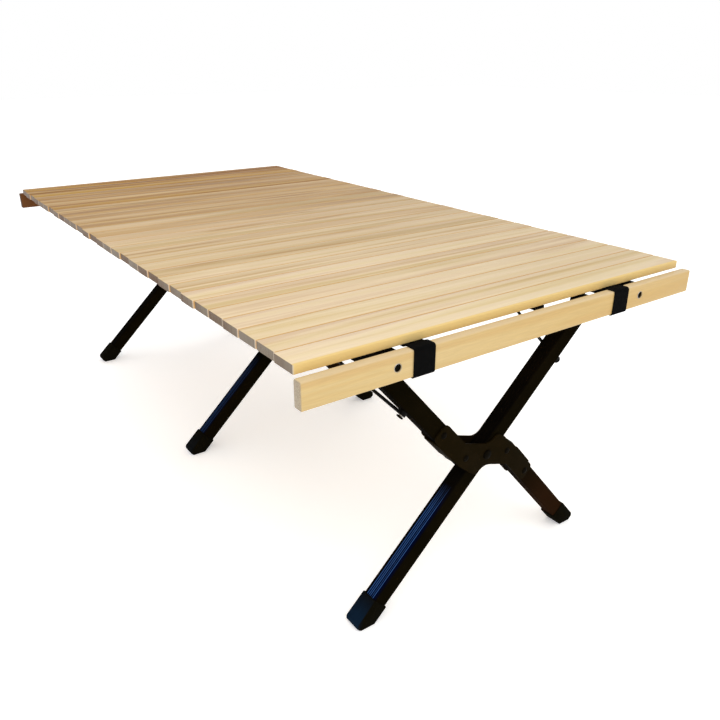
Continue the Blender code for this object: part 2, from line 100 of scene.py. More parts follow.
def length(name, default, description):
    return FloatProperty(name=name, description=description, default=default, min=0.0,
                         subtype="DISTANCE", unit="LENGTH", precision=5)


def colour(name, code, description):
    return FloatVectorProperty(name=name, description=description, default=rgb(code), size=3,
                               subtype="COLOR", min=0.0, max=1.0)


class TopSizes(bpy.types.PropertyGroup):
    slat_count: IntProperty(name="Slats", description="Slats side by side in the top",
                            default=len(SLATS), min=1)
    slat_pitch: length("Slat pitch", node_middle(SLATS[1], 0) - node_middle(SLATS[0], 0),
                       "From one slat's middle to the next")
    slat_width: length("Slat width", node_size(SLATS[0], 0), "Across one slat")
    slat_length: length("Slat length", node_size(SLATS[0], 1), "Across the table")
    slat_thickness: length("Slat thickness", node_size(SLATS[0], 2), "From top to underside")
    slat_edge: length("Slat edge radius", 0.0012, "Rounding of a slat's long edges")
    slat_corner: length("Slat corner radius", 0.0013, "Rounding of a slat's corners from above")
    slat_stagger: length("Slat stagger", 0.0013, "By which a slat's ends stand out of line")
    strap_width: length("Strap width", node_size("strap_left", 1), "Across the webbing")
    strap_thickness: length("Strap thickness", 0.0012, "Through the webbing")
    touch: length("Touching gap", 0.0003, "Left between two pieces that touch")
    rail_edge: length("End rail edge radius", 0.002, "Rounding of an end rail's edges")
    bush_radius: length("Bush radius", 0.0043, "Of the round bushes in the end rails")
    bush_rim: length("Bush rim radius", 0.0048, "Of the bright rim round a bush")
    tab_size: length("Tab size", 0.0120, "Each way across the tab under the nearest slat")
    tab_depth: length("Tab depth", 0.0054, "Of the folded webbing of the tab")
    tab_offset: length("Tab offset", 0.029, "From the table's middle line to the tab's")


class LegSizes(bpy.types.PropertyGroup):
    tube_width: length("Tube width", 0.023, "Of an arm, in the plane of its scissor")
    tube_depth: length("Tube depth", 0.022, "Of an arm, along the table")
    link_offset: length("Link offset", 0.0236, "From the hub to either arm of a front link")
    plate_thickness: length("Plate thickness", 0.0025, "Of a hub plate and its bridges")
    plate_margin: length("Plate margin", 0.0015, "By which a plate stands out past its arm")
    lobe_reach: length("Lobe reach", 0.090, "From the hub to the middle of a plate's round end")
    lobe_end: length("Lobe end", 0.0085, "From a lobe's rivet to the plate's end")
    lobe_corner: length("Lobe corner", 0.0075, "Radius of a lobe's two corners")
    waist_reach: length("Waist reach", 0.0076, "From the hub to the bottom of a plate's hollow")
    waist_radius: length("Waist radius", 0.020, "Of a hub plate's hollow arc")
    shoulder_radius: length("Shoulder radius", 0.008, "Of the shoulder above a plate's hollow")
    bridge_start: length("Bridge start", 0.045, "From the hub to a bridge's nearer end")
    bridge_end: length("Bridge end", 0.085, "From the hub to a bridge's further end")
    pin_radius: length("Pin radius", 0.004, "Of the hub's pivot pin")
    pin_head: length("Pin head radius", 0.0066, "Of the pin's domed heads")
    pin_rise: length("Pin head rise", 0.003, "Of the pin's heads above the plates")
    inner_rivet: length("Inner rivet", 0.030, "From the hub to the nearer rivet, along the arm")
    rivet_radius: length("Rivet radius", 0.0045, "Of a rivet's head")
    rivet_rise: length("Rivet rise", 0.0018, "Of a rivet's head above the plate")
    rod_bolt_radius: length("Rod bolt radius", 0.0024, "Of the bright bolt in a rod's eye")
    rod_bolt_reach: length("Rod bolt reach", 0.160, "From the hub to a rod's bolt")
    rod_bolt_shift: length("Rod bolt shift", 0.004, "From the arm's middle plane to the bolt")


class Colours(bpy.types.PropertyGroup):
    pine_pale: colour("Pale pine", "D9C69E", "Clear spring wood of the slats")
    pine_straw: colour("Straw pine", "D2BC8C", "Warm yellow streaks in the slats")
    pine_grey: colour("Grey pine", "CBB498", "Pinkish grey bands in the slats")
    # Gold and tan: painted shade that makes the far slats darker and golden
    pine_gold: colour("Gold pine", "7C4F0C", "Darkest streaks of the mellowed far slats")
    pine_tan: colour("Tan pine", "AA833A", "Palest bands of the mellowed far slats")
    # Painted shade in the gaps between the slats
    gap_shade_brown: colour("Edge brown", "C99852", "Sides of the slats, seen in the gaps")
    end_brown: colour("Brown end grain", "58402C", "Ends of some slats")
    end_grey: colour("Grey end grain", "756B5F", "Ends of the other slats")
    rail_pine: colour("End rail", "C8AD77", "Faces of the end rails")
    rail_cream: colour("End rail edge", "D6C09B", "Lighter top edge of the end rails")
    webbing: colour("Webbing", "0C0C0C", "Black polypropylene yarn")
    # Painted light in the film: plain faces warmer than grooved ones, a painted navy reflection
    # and painted highlight lines
    anodised: colour("Anodised film", "0B0802", "Black anodised aluminium, seen square on")
    reflected_navy: colour("Anodised sheen", "010825", "Cool sheen low on the grooved faces")
    crest_highlight_blue: colour("Anodised lines", "33568C", "Light lines along the grooves")
    plate: colour("Plate paint", "150F04", "Powder-coated steel of the hub plates")
    rubber: colour("Rubber", "0D0B05", "Moulded feet")
    rod: colour("Rod coat", "0C0B0A", "Coated steel of the brace rods")
    steel: colour("Bright steel", "C8C1B6", "Bare bolts")


def sizes():
    scene = bpy.context.scene
    return scene.table_top_sizes, scene.table_leg_sizes


def colours():
    return bpy.context.scene.table_colours


# Node trees

def add(tree, kind, inputs=None, **settings):
    """Adds a node, with its settings and its inputs: values, or outputs to link."""
    node = tree.nodes.new(kind)
    for key, value in settings.items():
        setattr(node, key, value)
    for key, value in (inputs or {}).items():
        if isinstance(value, bpy.types.NodeSocket):
            tree.links.new(value, node.inputs[key])
        else:
            node.inputs[key].default_value = value
    return node


def tree_of(*values):
    """The node tree that the sockets among these values are in."""
    return next(value.id_data for value in values if isinstance(value, bpy.types.NodeSocket))


def maths(operation, *values, clamp=False):
    node = add(tree_of(*values), "ShaderNodeMath", dict(enumerate(values)), operation=operation)
    node.use_clamp = clamp
    return node.outputs[0]


def times(first, *others):
    for other in others:
        first = maths("MULTIPLY", first, other)
    return first


def plus(first, second):
    return maths("ADD", first, second)


def minus(first, second):
    return maths("SUBTRACT", first, second)


def absolute(value):
    return maths("ABSOLUTE", value)


def split(vector):
    return add(vector.id_data, "ShaderNodeSeparateXYZ", {"Vector": vector}).outputs


def joined(**parts):
    return add(tree_of(*parts.values()), "ShaderNodeCombineXYZ", parts).outputs[0]


def remapped(value, low, high, to_low=0.0, to_high=1.0):
    return add(value.id_data, "ShaderNodeMapRange", {
        "Value": value, "From Min": low, "From Max": high, "To Min": to_low,
        "To Max": to_high}).outputs["Result"]


def new_material(name, **shader_values):
    """A material with what is the same all over set on its shader, and its node tree."""
    material = bpy.data.materials.new(name)
    material.use_nodes = True
    shader = material.node_tree.nodes["Principled BSDF"]
    for key, value in shader_values.items():
        shader.inputs[key.replace("_", " ")].default_value = value
    return material, material.node_tree


def finished(material, skin, pattern, rough, height, depth, strength):
    """Gives a material its colour, a roughness that follows a pattern, and a relief."""
    tree = material.node_tree
    shader = tree.nodes["Principled BSDF"]
    relief = add(tree, "ShaderNodeBump", {"Height": height, "Distance": depth,
                                          "Strength": strength})
    tree.links.new(skin, shader.inputs["Base Color"])
    tree.links.new(remapped(pattern, 0.3, 0.7, *rough), shader.inputs["Roughness"])
    tree.links.new(relief.outputs["Normal"], shader.inputs["Normal"])
    return material


def ramp(factor, *stops):
    """A colour ramp from (position, colour) stops."""
    node = add(factor.id_data, "ShaderNodeValToRGB", {"Fac": factor})
    elements = node.color_ramp.elements
    while len(elements) < len(stops):
        elements.new(0.5)
    for element, (position, value) in zip(elements, stops):
        element.position = position
        element.color = rgba(value)
    return node.outputs["Color"]


def mixed(factor, first, second, blend="MIX"):
    """Two colours mixed. Each is a socket, a hex code or a colour property."""
    first, second = (value if isinstance(value, bpy.types.NodeSocket) else rgba(value)
                     for value in (first, second))
    return add(tree_of(factor, first, second), "ShaderNodeMix",
               {0: factor, 6: first, 7: second}, data_type="RGBA", blend_type=blend).outputs[2]


def object_position(tree):
    return add(tree, "ShaderNodeTexCoord").outputs["Object"]


def noise(position, size, detail=2.0, roughness=0.6, distortion=0.0, shift=(0, 0, 0)):
    """Noise whose features have a real size in millimetres, one for all axes or one each."""
    each = size if isinstance(size, tuple) else (size,) * 3
    scaled = add(position.id_data, "ShaderNodeMapping", {
        "Vector": position, "Scale": tuple(1000.0 / mm for mm in each), "Location": shift})
    return add(position.id_data, "ShaderNodeTexNoise", {
        "Vector": scaled.outputs["Vector"], "Scale": 1.0, "Detail": detail,
        "Roughness": roughness, "Distortion": distortion}).outputs["Fac"]


def white_noise(value):
    return add(value.id_data, "ShaderNodeTexWhiteNoise", {"W": value},
               noise_dimensions="1D").outputs["Value"]


# Materials

def pine_slats():
    """Planed pine under a thin clear seal.

    Long straight grain in soft streaks, each slat a colour of its own, painted shade that turns
    the slats darker and golden towards the far end, a satin face, painted warm brown shade
    between two slats, and darker porous end grain.
    """
    paint = colours()
    top, _ = sizes()
    material, tree = new_material("planed_pine_slats", Roughness=0.5, Specular_IOR_Level=0.12)
    slat, tone, across, along = (
        add(tree, "ShaderNodeAttribute", attribute_name="slat_" + name).outputs["Fac"]
        for name in ("number", "tone", "across", "along"))
    x, y, _ = split(object_position(tree))
    cut = joined(X=x, Y=y, Z=times(slat, 0.37))

    # Growth bands 27 mm wide, streaks 11 mm wide and fibres 0.9 mm wide, all far longer
    bands = noise(cut, (27, 900, 40), 1.0, 0.5, 0.6)
    streaks = noise(cut, (11, 460, 9), 2.0, 0.55, 0.4)
    fibres = noise(cut, (0.9, 26, 1.2))
    seam = noise(cut, (15, 520, 21), 2.0, 0.6, 0.8, (0.31, 0.2, 0.7))
    figure = plus(times(bands, 0.70), times(streaks, 0.30))
    figure = plus(figure, remapped(white_noise(slat), 0.0, 1.0, -0.07, 0.07))

    # Two palettes, pale at the near end and golden at the far one, whose streaks stand out:
    # blended by tone, they paint shade that darkens the far slats, and each slat's drift is its
    # own tone
    near_pale = ramp(figure, (0.37, paint.pine_straw), (0.44, paint.pine_pale),
                 (0.54, "DBC8A8"), (0.60, paint.pine_grey))
    gold = ramp(figure, (0.40, paint.pine_gold), (0.46, "8A5B12"), (0.54, "986A1D"),
                (0.60, paint.pine_tan))
    wood = mixed(tone, near_pale, gold)
    veins = times(remapped(seam, 0.56, 0.67), remapped(tone, 0.05, 0.45, 0.15, 0.85))
    wood = mixed(veins, wood, mixed(tone, "B9955E", "7A4E1A"))
    clear = times(remapped(seam, 0.44, 0.34), remapped(tone, 0.0, 0.4, 0.25, 0.6))
    wood = mixed(clear, wood, mixed(tone, "E2D3B5", "BE9858"))

    # Fine grain, and painted light: the near slats paler towards their -Y ends
    painted_light = times(remapped(y, -0.30, 0.12, 1.0, 0.0), remapped(tone, 0.3, 0.9, 0.12, 0.0))
    fine = plus(remapped(fibres, 0.35, 0.70, 0.94, 1.03), painted_light)
    wood = mixed(1.0, wood, fine, "MULTIPLY")

    # Painted shade: warm brown within 0.8 mm of a long edge, between two slats, but for the
    # top's own ends
    half = top.slat_width / 2
    edge = absolute(across)
    wall = remapped(edge, half - 0.0008, half - 0.0003)
    outermost = slats_end()
    inside = remapped(absolute(x), outermost - 0.0020, outermost - 0.0040)
    gap_shade = times(wall, inside, remapped(tone, 0.1, 0.8, 0.80, 0.7))
    wood = mixed(gap_shade, wood, paint.gap_shade_brown)
    outside = times(minus(1.0, inside), 0.85)
    wood = mixed(outside, wood, mixed(tone, "E2C379", "94703C"))

    # End grain: brown or grey by the slat, leaning a little across it, darker towards the far
    # end as painted shade, with painted highlights at the corners
    end = (top.slat_length - top.slat_stagger) / 2
    reach = absolute(along)
    lean = plus(white_noise(plus(slat, 0.5)), times(across, 12.0))
    grain = mixed(remapped(lean, 0.2, 0.7), paint.end_brown, paint.end_grey)
    rings = noise(cut, (1.6, 40, 3.0))
    grain = mixed(remapped(rings, 0.35, 0.7, 0.0, 0.35), grain, "8A7B68")
    grain = mixed(remapped(tone, 0.2, 0.9, 0.0, 0.45), grain, "5E4433")
    wood = mixed(remapped(reach, end - 0.0004, end - 0.0001), wood, grain)
    corner = times(remapped(reach, end - 0.0014, end - 0.0010),
                   remapped(edge, half - 0.0016, half - 0.0010), 0.45)
    wood = mixed(corner, wood, "C6BCB0")
    relief = plus(fibres, times(streaks, 0.6))
    return finished(material, wood, fibres, (0.44, 0.60), relief, 0.00012, 0.5)


def pine_rail():
    """Rounded pine rail under the same seal: plainer grain, a paler upper edge."""
    paint = colours()
    material, tree = new_material("rounded_pine_rails", Roughness=0.45, Specular_IOR_Level=0.15)
    position = object_position(tree)
    x, y, z = split(position)
    bands = noise(position, (12, 380, 12), 2.0, 0.5, 0.5)
    fibres = noise(position, (1.0, 22, 1.0))
    wood = ramp(bands, (0.32, "C5A671"), (0.50, paint.rail_pine), (0.70, "CEB686"))
    # It turns darker and more yellow towards its +Y end
    wood = mixed(times(remapped(y, -0.15, 0.32), 0.6), wood, "BE9852")
    _, end = node_span("end_rail_near", 1)
    _, upper = node_span("end_rail_near", 2)
    paler_top = times(remapped(z, upper - 0.0020, upper - 0.0004), 0.6)
    wood = mixed(paler_top, wood, paint.rail_cream)
    fine = remapped(fibres, 0.35, 0.70, 0.94, 1.03)
    wood = mixed(1.0, wood, fine, "MULTIPLY")
    sawn = times(remapped(absolute(y), end - 0.0016, end - 0.0004), 0.9)
    grain = noise(position, (1.4, 30, 1.4))
    wood = mixed(sawn, wood, mixed(remapped(grain, 0.35, 0.7), "857A6C", "AC9F8B"))
    # Painted shade: the far rail a good deal darker
    far_shade = mixed(1.0, wood, "7F5935", "MULTIPLY")
    wood = mixed(remapped(x, 0.1, -0.1), wood, far_shade)
    return finished(material, wood, fibres, (0.34, 0.48), fibres, 0.0001, 0.4)


def webbing():
    """Flat-woven polypropylene webbing: matt black yarn whose ribs catch a grey sheen."""
    material, tree = new_material("woven_webbing", Roughness=0.78, Specular_IOR_Level=0.015)
    strap = add(tree, "ShaderNodeUVMap", uv_map="strap").outputs["UV"]
    # Yarns 1.3 mm apart each way, a little coarser than real ones so that they show
    weft, warp = (maths("SINE", times(way, 2 * math.pi / 0.0013)) for way in split(strap)[:2])
    weave = times(warp, weft)
    lint = noise(object_position(tree), 6, 3.0)
    black = mixed(remapped(weave, -1.0, 1.0), "050505", colours().webbing)
    black = mixed(remapped(lint, 0.45, 0.75, 0.0, 0.35), black, "161617")
    return finished(material, black, lint, (0.70, 0.86), weave, 0.00025, 0.6)


def anodised_tube():
    """Black anodised aluminium extrusion.

    The plain faces read brownish black, warmer and lighter than the grooved ones as painted
    light.
    Die lines run down the grooved faces, whose crests carry thin painted highlights, and low on
    the legs a painted reflection turns the film navy.
    """
    paint = colours()
    material, tree = new_material("black_anodised_aluminium", Roughness=0.7,
                                  Specular_IOR_Level=0.003)
    coords = add(tree, "ShaderNodeTexCoord")
    position = coords.outputs["Object"]
    x, y, z = split(position)
    facing_x, facing_y, facing_z = split(coords.outputs["Normal"])

    # Painted reflection of a cool light: low down, on faces turned to -Y and up, and stronger at
    # the near end
    navy_reflection = times(remapped(z, 0.152, 0.128), remapped(times(facing_y, -1.0), 0.2, 0.6),
                 remapped(facing_z, 0.2, 0.5), remapped(x, -0.45, 0.45))

    # Across a grooved face, from its scissor's middle plane: painted highlight lines 2.75 mm
    # apart, at the grooves' edges, between an edge that stays black and one that the painted
    # reflection turns navy
    near_x = joint_place("hub_turn_near").x
    spacing = near_x - joint_place("hub_turn_mid").x
    local = minus(maths("FLOORED_MODULO", plus(x, 2.5 * spacing - near_x), spacing), spacing / 2)
    wave = maths("COSINE", times(local, 2 * math.pi / 0.00275))
    crest_highlight = times(remapped(wave, 0.2, 0.95), remapped(absolute(local), 0.0074, 0.0066))
    navy_reflection = times(navy_reflection, remapped(local, -0.0078, -0.0062),
                 remapped(local, 0.0102, 0.0080, 0.3, 1.0))
    navy = mixed(crest_highlight, paint.reflected_navy, paint.crest_highlight_blue)
    # Painted light: faces turned along X get a warmer, lighter black than the others
    film = mixed(remapped(absolute(facing_x), 0.6, 0.9),
                 mixed(navy_reflection, "060504", navy), paint.anodised)
    clouds = noise(position, 60, 3.0, 0.55)
    film = mixed(remapped(clouds, 0.4, 0.75, 0.0, 0.25), film, "1E160A")
    # Painted warm reflection: low on the +Y side the faces turn to a deep bronze
    warm_reflection = times(remapped(y, 0.04, 0.13), remapped(z, 0.16, 0.08), 0.8)
    film = mixed(warm_reflection, film, "261509")
    # Die lines 0.35 mm apart and many times longer
    lines = noise(position, (0.35, 30, 30))
    return finished(material, film, lines, (0.64, 0.76), lines, 0.00004, 0.4)


def plate_paint():
    """Powder-coated pressed steel: an even, faintly pebbled, warm black."""
    material, tree = new_material("powder_coated_plate", Roughness=0.6, Specular_IOR_Level=0.006)
    position = object_position(tree)
    pebble = noise(position, 0.9, 2.0, 0.5)
    wear = remapped(noise(position, 16, 3.0), 0.45, 0.75, 0.0, 0.5)
    coat = mixed(wear, colours().plate, "1E1508")
    return finished(material, coat, pebble, (0.54, 0.68), pebble, 0.00006, 0.5)


def foot_rubber():
    """Injection-moulded rubber: matt, dusty in the hollows."""
    material, tree = new_material("moulded_rubber", Roughness=0.72, Specular_IOR_Level=0.005)
    coords = add(tree, "ShaderNodeTexCoord")
    position = coords.outputs["Object"]
    x, y, _ = split(position)
    _, facing_y, _ = split(coords.outputs["Normal"])
    grit = noise(position, 0.7)
    dust = remapped(noise(position, 14, 3.0), 0.45, 0.8, 0.0, 0.5)
    skin = mixed(dust, colours().rubber, "13110B")
    # Painted reflection of the same cool light as on the tubes' low faces
    navy_reflection = times(remapped(times(facing_y, -1.0), 0.3, 0.7),
                 remapped(x, -0.1, 0.45), remapped(y, 0.02, -0.02))
    skin = mixed(navy_reflection, skin, "0C1B2B")
    return finished(material, skin, grit, (0.62, 0.80), grit, 0.00008, 0.5)


def coated_rod():
    """Drawn steel rod with a thin black coat: a soft gloss with faint drawing marks."""
    material, tree = new_material("coated_steel_rod", Roughness=0.4, Specular_IOR_Level=0.04)
    marks = noise(object_position(tree), (0.6, 0.6, 8))
    coat = mixed(remapped(marks, 0.45, 0.8, 0.0, 0.5), colours().rod, "191715")
    return finished(material, coat, marks, (0.28, 0.42), marks, 0.00003, 0.4)


def blackened_steel():
    """Black-oxide steel fasteners: a dark oily film, rubbed to brown on the crowns."""
    material, tree = new_material("blackened_steel", Roughness=0.5, Specular_IOR_Level=0.012)
    film = noise(object_position(tree), 2.5, 3.0)
    coat = mixed(remapped(film, 0.45, 0.75), "080603", "140F07")
    return finished(material, coat, film, (0.42, 0.58), film, 0.00004, 0.4)


def bright_steel():
    """Bare zinc-plated steel: bright, with fine turning marks."""
    material, tree = new_material("zinc_plated_steel", Metallic=0.7, Roughness=0.35)
    marks = noise(object_position(tree), 0.5)
    zinc = mixed(remapped(marks, 0.35, 0.7), "8D867C", colours().steel)
    return finished(material, zinc, marks, (0.22, 0.38), marks, 0.00003, 0.3)


# Meshes

def linked(name, data):
    """A new object in the scene."""
    thing = bpy.data.objects.new(name, data)
    bpy.context.scene.collection.objects.link(thing)
    return thing


def dress(mesh, material):
    """Gives a mesh this one finish."""
    mesh.materials.clear()
    mesh.materials.append(material)


def place_piece(name, mesh, material, body, angle=35.0):
    """Puts a finished mesh in the scene, at the origin, riding on its body."""
    mesh.name = name
    if material is not None:
        dress(mesh, material)
    mesh.shade_smooth()
    mesh.set_sharp_from_angle(angle=math.radians(angle))
    piece = linked(name, mesh)
    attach(piece, body)
    return piece


def evaluated(host):
    """The plain mesh of an object, its modifiers applied. The object itself goes."""
    depsgraph = bpy.context.evaluated_depsgraph_get()
    depsgraph.update()
    mesh = bpy.data.meshes.new_from_object(host.evaluated_get(depsgraph))
    bpy.data.objects.remove(host, do_unlink=True)
    return mesh


def geometry_tree(name, **inputs):
    """A Geometry Nodes tree with its named inputs at their values, and their sockets."""
    tree = bpy.data.node_groups.new(name, "GeometryNodeTree")
    tree.interface.new_socket(name="Geometry", in_out="OUTPUT", socket_type="NodeSocketGeometry")
    for label, value in inputs.items():
        socket = tree.interface.new_socket(name=label, in_out="INPUT",
                                           socket_type=SOCKET_KINDS[type(value)])
        socket.default_value = value
    return tree, add(tree, "NodeGroupInput").outputs


def close_tree(tree, geometry, material):
    """Ends a tree: real geometry in its material."""
    real = add(tree, "GeometryNodeRealizeInstances", {"Geometry": geometry}).outputs[0]
    painted = add(tree, "GeometryNodeSetMaterial", {"Geometry": real, "Material": material})
    add(tree, "NodeGroupOutput", {"Geometry": painted.outputs[0]})
    return tree


def grown(tree, **values):
    """Runs a tree on an empty object and returns the plain mesh that it makes.

    The inputs have the values that the tree was built with, but for the ones given here.
    """
    host = linked(tree.name, bpy.data.meshes.new(tree.name))
    modifier = host.modifiers.new(tree.name, "NODES")
    modifier.node_group = tree
    for item in tree.interface.items_tree:
        if item.in_out == "INPUT":
            value = values.get(item.name, item.default_value)
            plain = value if isinstance(value, (int, float)) else tuple(value)
            modifier[item.identifier] = plain
    return evaluated(host)


def instanced(points, instance):
    return add(points.id_data, "GeometryNodeInstanceOnPoints", {
        "Points": points, "Instance": instance}).outputs[0]


def transformed(geometry, **ways):
    return add(geometry.id_data, "GeometryNodeTransform", {
        "Geometry": geometry, **ways}).outputs[0]


def stored(geometry, name, value, domain="POINT"):
    return add(geometry.id_data, "GeometryNodeStoreNamedAttribute", {
        "Geometry": geometry, "Name": name, "Value": value}, data_type="FLOAT",
        domain=domain).outputs[0]


def point_row(count, start, step):
    """Points in a row, each one step from the last."""
    return add(start.id_data, "GeometryNodeMeshLine", {
        "Count": count, "Start Location": start, "Offset": step}, mode="OFFSET").outputs[0]


def under_slats():
    """The level at which the webbing meets the slats."""
    top, _ = sizes()
    return node_middle(SLATS[0], 2) - top.slat_thickness / 2 - top.touch


def slats_end():
    """How far along X the slats reach."""
    top, _ = sizes()
    return node_middle(SLATS[-1], 0) + top.slat_width / 2


def slat_tree(material):
    """Slats in a row: a filleted section swept along each, then set out one pitch apart."""
    top, _ = sizes()
    tree, given = geometry_tree(
        "slats", Count=top.slat_count, Pitch=top.slat_pitch, Width=top.slat_width,
        Length=top.slat_length - top.slat_stagger, Thickness=top.slat_thickness,
        Edge=top.slat_edge, Corner=top.slat_corner, Height=node_middle(SLATS[0], 2),
        Stagger=top.slat_stagger, Bend=1.15, Lift=0.09, Drift=0.2, Calm=0.45, Seed=2565)
    section = add(tree, "GeometryNodeCurvePrimitiveQuadrilateral",
                  {"Width": given["Width"], "Height": given["Thickness"]}).outputs[0]
    section = add(tree, "GeometryNodeFilletCurve", {
        "Curve": section, "Radius": given["Edge"], "Count": 3}, mode="POLY").outputs[0]
    index = add(tree, "GeometryNodeInputIndex").outputs[0]

    # Six points: three at each end, where the section shrinks to round the corners in plan
    line = add(tree, "GeometryNodeCurvePrimitiveLine", {"End": (0.0, 1.0, 0.0)}).outputs[0]
    line = add(tree, "GeometryNodeSubdivideCurve", {"Curve": line, "Cuts": 4}).outputs[0]
    step = times(maths("MINIMUM", index, minus(5.0, index)), 0.5)
    inset = maths("POWER", step, 2.0)
    side = maths("SIGN", minus(index, 2.5))
    reach = minus(times(given["Length"], 0.5), times(inset, given["Corner"]))
    line = add(tree, "GeometryNodeSetPosition", {
        "Geometry": line, "Position": joined(Y=times(side, reach))}).outputs[0]
    rest = minus(1.0, inset)
    round_in = minus(1.0, maths("SQRT", minus(1.0, times(rest, rest))))
    share = maths("DIVIDE", times(given["Corner"], 2.0), given["Width"])
    slat = add(tree, "GeometryNodeCurveToMesh", {
        "Curve": line, "Profile Curve": section, "Fill Caps": True,
        "Scale": minus(1.0, times(round_in, share))}).outputs[0]
    across, along, _ = split(add(tree, "GeometryNodeInputPosition").outputs[0])
    slat = stored(slat, "slat_across", across)
    slat = stored(slat, "slat_along", along)

    # The row's first point lies half the row's length back from the middle
    steps = minus(given["Count"], 1.0)
    first = times(steps, given["Pitch"], -0.5)
    row = point_row(given["Count"], joined(X=first, Z=given["Height"]), joined(X=given["Pitch"]))
    chance = add(tree, "FunctionNodeRandomValue", {
        2: -1.0, 3: 1.0, "ID": index, "Seed": given["Seed"]}, data_type="FLOAT").outputs[1]
    row = add(tree, "GeometryNodeSetPosition", {"Geometry": row,
        "Offset": joined(Y=times(chance, given["Stagger"]))}).outputs[0]
    slats = stored(instanced(row, slat), "slat_number", index, "INSTANCE")

    # Tone and shade: near 0 at the near end and 1 at the far one, a run that paints shade
    # towards the far end, with each slat a little off the run as its own tone: by up to the full
    # drift at the far end, and the calm share of it at the near one
    away = minus(1.0, maths("DIVIDE", index, steps))
    run = plus(maths("POWER", away, given["Bend"]), given["Lift"])
    swing = plus(times(away, minus(1.0, given["Calm"])), given["Calm"])
    drift = times(chance, given["Drift"], swing)
    tone = maths("ADD", run, drift, clamp=True)
    return close_tree(tree, stored(slats, "slat_tone", tone, "INSTANCE"), material)


def staple_tree(material):
    """Staple crowns in a grid, sunk in the webbing's underside where it crosses slats."""
    top, _ = sizes()
    left, right = node_middle("strap_left", 1), node_middle("strap_right", 1)
    tree, given = geometry_tree(
        "staples", Slats=top.slat_count, Pitch=top.slat_pitch, Spread=right - left,
        Crown=(0.0012, 0.011, 0.0005), Shift=(left + right) / 2,
        Height=under_slats() - top.strap_thickness + 0.0001)
    reach = times(minus(given["Slats"], 1.0), given["Pitch"])
    grid = add(tree, "GeometryNodeMeshGrid", {
        "Size X": reach, "Size Y": given["Spread"], "Vertices X": given["Slats"],
        "Vertices Y": 2}).outputs[0]
    crown = add(tree, "GeometryNodeMeshCube", {"Size": given["Crown"]}).outputs[0]
    crowns = transformed(instanced(grid, crown),
                         Translation=joined(Y=given["Shift"], Z=given["Height"]))
    return close_tree(tree, crowns, material)


def rivet_tree(material, seat, turn):
    """Domed rivet heads on both plates of one yoke, in two rows through its hub."""
    _, leg = sizes()
    tree, given = geometry_tree(
        "rivets", Near=(0.0, leg.inner_rivet, leg.link_offset),
        Outer=(0.0, leg.lobe_reach, leg.link_offset), Hub=(0.0, 0.0, 0.0), Turn=turn,
        Seat=seat, Radius=leg.rivet_radius, Rise=leg.rivet_rise)
    spots = tree.nodes.new("GeometryNodeJoinGeometry")
    for label in ("Near", "Outer"):
        for way in (1.0, -1.0):
            for side in (1.0, -1.0):
                row = add(tree, "ShaderNodeVectorMath", {0: given[label], 1: (1.0, way, way)},
                          operation="MULTIPLY").outputs[0]
                out = joined(X=times(given["Seat"], side))
                spot = add(tree, "ShaderNodeVectorMath", {0: row, 1: out},
                           operation="ADD").outputs[0]
                tree.links.new(point_row(1, spot, (0.0, 0.0, 0.0)), spots.inputs[0])
    ball = add(tree, "GeometryNodeMeshUVSphere", {"Segments": 16, "Rings": 8, "Radius": 1.0})
    head = transformed(ball.outputs[0], Rotation=(0.0, math.pi / 2, 0.0),
                       Scale=joined(X=given["Radius"], Y=given["Radius"], Z=given["Rise"]))
    heads = transformed(instanced(spots.outputs[0], head),
                        Translation=given["Hub"], Rotation=joined(X=given["Turn"]))
    return close_tree(tree, heads, material)


def bush_tree(material, spread):
    """Two short bushes in an end rail, their ends just inside its faces."""
    top, _ = sizes()
    tree, given = geometry_tree(
        "bushes", Spread=spread, Radius=top.bush_radius - 0.0002,
        Depth=node_size("end_rail_near", 0) - 0.0012, Centre=(0.0, 0.0, 0.0))
    row = point_row(2, joined(Y=times(given["Spread"], -0.5)), joined(Y=given["Spread"]))
    core = add(tree, "GeometryNodeMeshCylinder", {
        "Vertices": 32, "Radius": given["Radius"], "Depth": given["Depth"]})
    laid = transformed(core.outputs[0], Rotation=(0.0, math.pi / 2, 0.0))
    bushes = transformed(instanced(row, laid), Translation=given["Centre"])
    return close_tree(tree, bushes, material)


def plain_mesh(solid, name):
    mesh = bpy.data.meshes.new(name)
    solid.to_mesh(mesh)
    solid.free()
    return mesh


def arc(centre, radius, start, end, steps):
    angles = [math.radians(start + (end - start) * i / steps) for i in range(steps + 1)]
    return [(centre[0] + radius * math.cos(a), centre[1] + radius * math.sin(a))
            for a in angles]


def strap_path():
    """The webbing's middle line in XZ: level under the slats, and round both end rails."""
    top, _ = sizes()
    half = top.strap_thickness / 2
    level = under_slats() - half
    radius = top.rail_edge + top.touch + half
    inner, outer = node_span("end_rail_near", 0)
    lower, upper = node_span("end_rail_near", 2)
    inner, outer = inner + top.rail_edge, outer - top.rail_edge
    lower, upper = lower + top.rail_edge, upper - top.rail_edge
    first = slats_end() + top.touch
    near = [(x, level) for x in (0.1, 0.2, 0.3, 0.4, 0.5, first - 0.003)]
    rise = upper + radius - level
    # From the nearest slat it runs in a soft S to the rail's upper face
    for i in range(9):
        t = i / 8
        near.append((first + (inner - first) * t, level + rise * t * t * (3 - 2 * t)))
    near += arc((outer, upper), radius, 90, 0, 8)
    near += arc((outer, lower), radius, 0, -90, 8)
    near += [(inner, lower - radius)]
    return [(-x, z) for x, z in reversed(near)] + [(0.0, level)] + near


